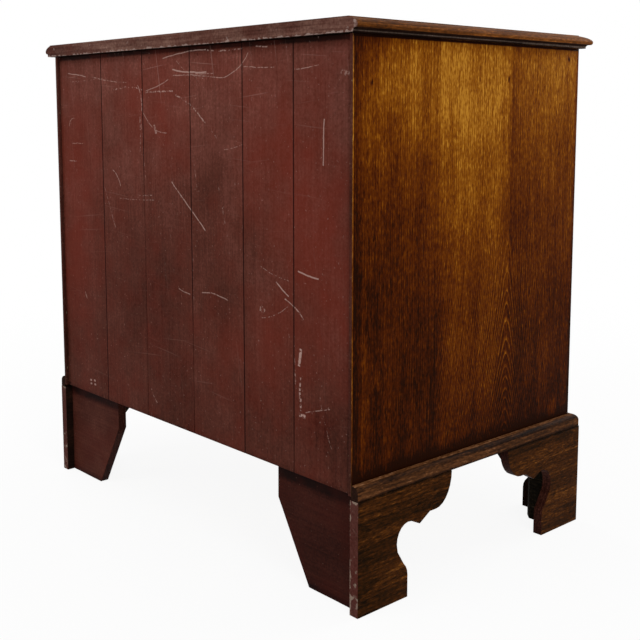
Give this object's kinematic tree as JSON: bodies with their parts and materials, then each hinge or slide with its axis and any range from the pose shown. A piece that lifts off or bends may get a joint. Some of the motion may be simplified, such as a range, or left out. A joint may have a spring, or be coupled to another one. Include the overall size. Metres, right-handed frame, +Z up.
{
  "type": "chest of drawers",
  "caption": "Low oak chest of graduated full-width drawers with a moulded top, boarded back, base moulding and shaped bracket feet; brass swan-neck handles.",
  "frame": {"origin": "on the floor, under the middle of the base, halfway between the front brackets' faces and the carcase's back, and halfway between its ends", "axes": "+X to the right as seen from the front, -Y towards the front where the drawers come out, +Z up"},
  "size_m": [0.836, 0.5447, 0.821],
  "materials": {
    "oak_golden": "waxed golden oak, worn and darkened",
    "oak_dark": "waxed dark oak",
    "pine_painted": "old dark red paint on pine, scratched",
    "oak_lining": "bare, unpolished oak",
    "brass_aged": "aged cast brass"
  },
  "bodies": {
    "carcase": {"top": "oak_golden", "side_left": "oak_golden", "side_right": "oak_golden", "back_board_1": "pine_painted", "back_board_2": "pine_painted", "back_board_3": "pine_painted", "back_board_4": "pine_painted", "back_board_5": "pine_painted", "back_board_6": "pine_painted", "bottom_board": "oak_lining", "dustboard_1": "oak_golden", "dustboard_2": "oak_golden", "dustboard_3": "oak_golden", "base_moulding_front": "oak_dark", "base_moulding_left": "oak_dark", "base_moulding_right": "oak_dark", "foot_front_left_side_bracket": "oak_dark", "foot_front_left_front_bracket": "oak_dark", "foot_front_right_side_bracket": "oak_dark", "foot_front_right_front_bracket": "oak_dark", "foot_rear_left_side_bracket": "oak_dark", "foot_rear_left_back_bracket": "pine_painted", "foot_rear_right_side_bracket": "oak_dark", "foot_rear_right_back_bracket": "pine_painted"},
    "drawer_1": {"drawer_1_front": "oak_golden", "drawer_1_side_left": "oak_lining", "drawer_1_side_right": "oak_lining", "drawer_1_back": "oak_lining", "drawer_1_bottom": "oak_lining", "drawer_1_handle_plate_left": "brass_aged", "drawer_1_handle_plate_right": "brass_aged"},
    "drawer_2": {"drawer_2_front": "oak_golden", "drawer_2_side_left": "oak_lining", "drawer_2_side_right": "oak_lining", "drawer_2_back": "oak_lining", "drawer_2_bottom": "oak_lining", "drawer_2_handle_plate_left": "brass_aged", "drawer_2_handle_plate_right": "brass_aged"},
    "drawer_3": {"drawer_3_front": "oak_golden", "drawer_3_side_left": "oak_lining", "drawer_3_side_right": "oak_lining", "drawer_3_back": "oak_lining", "drawer_3_bottom": "oak_lining", "drawer_3_handle_plate_left": "brass_aged", "drawer_3_handle_plate_right": "brass_aged"},
    "drawer_4": {"drawer_4_front": "oak_golden", "drawer_4_side_left": "oak_lining", "drawer_4_side_right": "oak_lining", "drawer_4_back": "oak_lining", "drawer_4_bottom": "oak_lining", "drawer_4_handle_plate_left": "brass_aged", "drawer_4_handle_plate_right": "brass_aged"},
    "bail_1_left": {"drawer_1_bail_left": "brass_aged"},
    "bail_1_right": {"drawer_1_bail_right": "brass_aged"},
    "bail_2_left": {"drawer_2_bail_left": "brass_aged"},
    "bail_2_right": {"drawer_2_bail_right": "brass_aged"},
    "bail_3_left": {"drawer_3_bail_left": "brass_aged"},
    "bail_3_right": {"drawer_3_bail_right": "brass_aged"},
    "bail_4_left": {"drawer_4_bail_left": "brass_aged"},
    "bail_4_right": {"drawer_4_bail_right": "brass_aged"}
  },
  "joints": [
    {"name": "drawer_1_slide", "type": "slide", "parent": "carcase", "child": "drawer_1", "axis": [0, -1, 0], "range_m": [0, 0.36]},
    {"name": "drawer_2_slide", "type": "slide", "parent": "carcase", "child": "drawer_2", "axis": [0, -1, 0], "range_m": [0, 0.36]},
    {"name": "drawer_3_slide", "type": "slide", "parent": "carcase", "child": "drawer_3", "axis": [0, -1, 0], "range_m": [0, 0.36]},
    {"name": "drawer_4_slide", "type": "slide", "parent": "carcase", "child": "drawer_4", "axis": [0, -1, 0], "range_m": [0, 0.36]},
    {"name": "bail_1_left_swing", "type": "hinge", "parent": "drawer_1", "child": "bail_1_left", "pos_m": [-0.232, -0.266, 0.74038], "axis": [-1, 0, 0], "range_deg": [-20, 85]},
    {"name": "bail_1_right_swing", "type": "hinge", "parent": "drawer_1", "child": "bail_1_right", "pos_m": [0.232, -0.266, 0.74038], "axis": [-1, 0, 0], "range_deg": [-20, 85]},
    {"name": "bail_2_left_swing", "type": "hinge", "parent": "drawer_2", "child": "bail_2_left", "pos_m": [-0.232, -0.266, 0.59637], "axis": [-1, 0, 0], "range_deg": [-20, 85]},
    {"name": "bail_2_right_swing", "type": "hinge", "parent": "drawer_2", "child": "bail_2_right", "pos_m": [0.232, -0.266, 0.59637], "axis": [-1, 0, 0], "range_deg": [-20, 85]},
    {"name": "bail_3_left_swing", "type": "hinge", "parent": "drawer_3", "child": "bail_3_left", "pos_m": [-0.232, -0.266, 0.43888], "axis": [-1, 0, 0], "range_deg": [-20, 85]},
    {"name": "bail_3_right_swing", "type": "hinge", "parent": "drawer_3", "child": "bail_3_right", "pos_m": [0.232, -0.266, 0.43888], "axis": [-1, 0, 0], "range_deg": [-20, 85]},
    {"name": "bail_4_left_swing", "type": "hinge", "parent": "drawer_4", "child": "bail_4_left", "pos_m": [-0.232, -0.266, 0.26787], "axis": [-1, 0, 0], "range_deg": [-20, 85]},
    {"name": "bail_4_right_swing", "type": "hinge", "parent": "drawer_4", "child": "bail_4_right", "pos_m": [0.232, -0.266, 0.26787], "axis": [-1, 0, 0], "range_deg": [-20, 85]}
  ]
}
